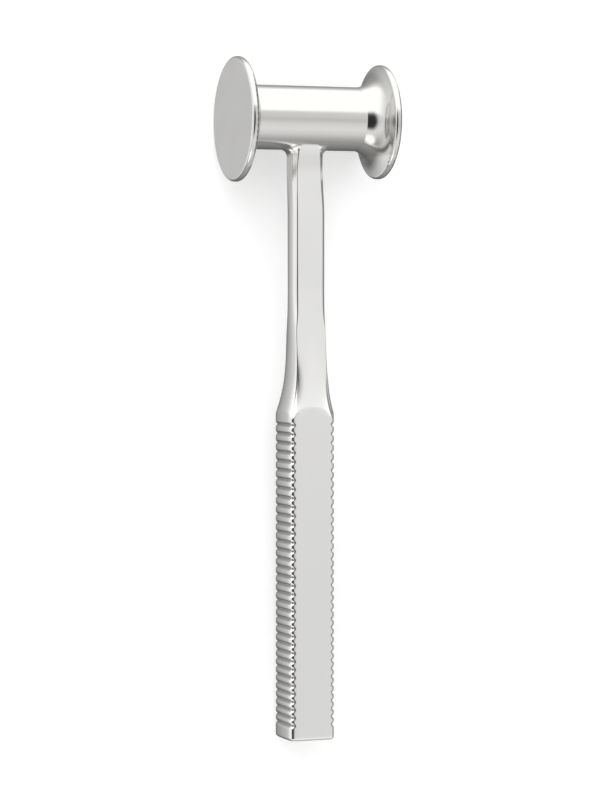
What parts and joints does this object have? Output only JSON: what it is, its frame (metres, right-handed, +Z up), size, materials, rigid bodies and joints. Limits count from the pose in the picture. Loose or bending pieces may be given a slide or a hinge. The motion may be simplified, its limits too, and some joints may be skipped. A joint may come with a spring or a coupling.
{
  "type": "surgical mallet",
  "caption": "Stainless steel surgical mallet in one piece: spool-shaped head with two flat round faces, slim neck and square grip grooved across both sides.",
  "frame": {"origin": "centre of the bounding box on the table plane, with the mallet lying front face up on both disc rims and on one corner of the grip's end", "axes": "+Z up from the table, +Y along the handle towards the head, +X along the head towards the smaller disc; the handle leans 3.3 degrees and the head 1.8 degrees from these axes because the discs are wider than the grip and not the same size"},
  "size_m": [0.0522, 0.2196, 0.04],
  "materials": {
    "steel": "satin to semi-bright polish"
  },
  "bodies": {
    "root": {"mallet": "steel"}
  },
  "joints": []
}
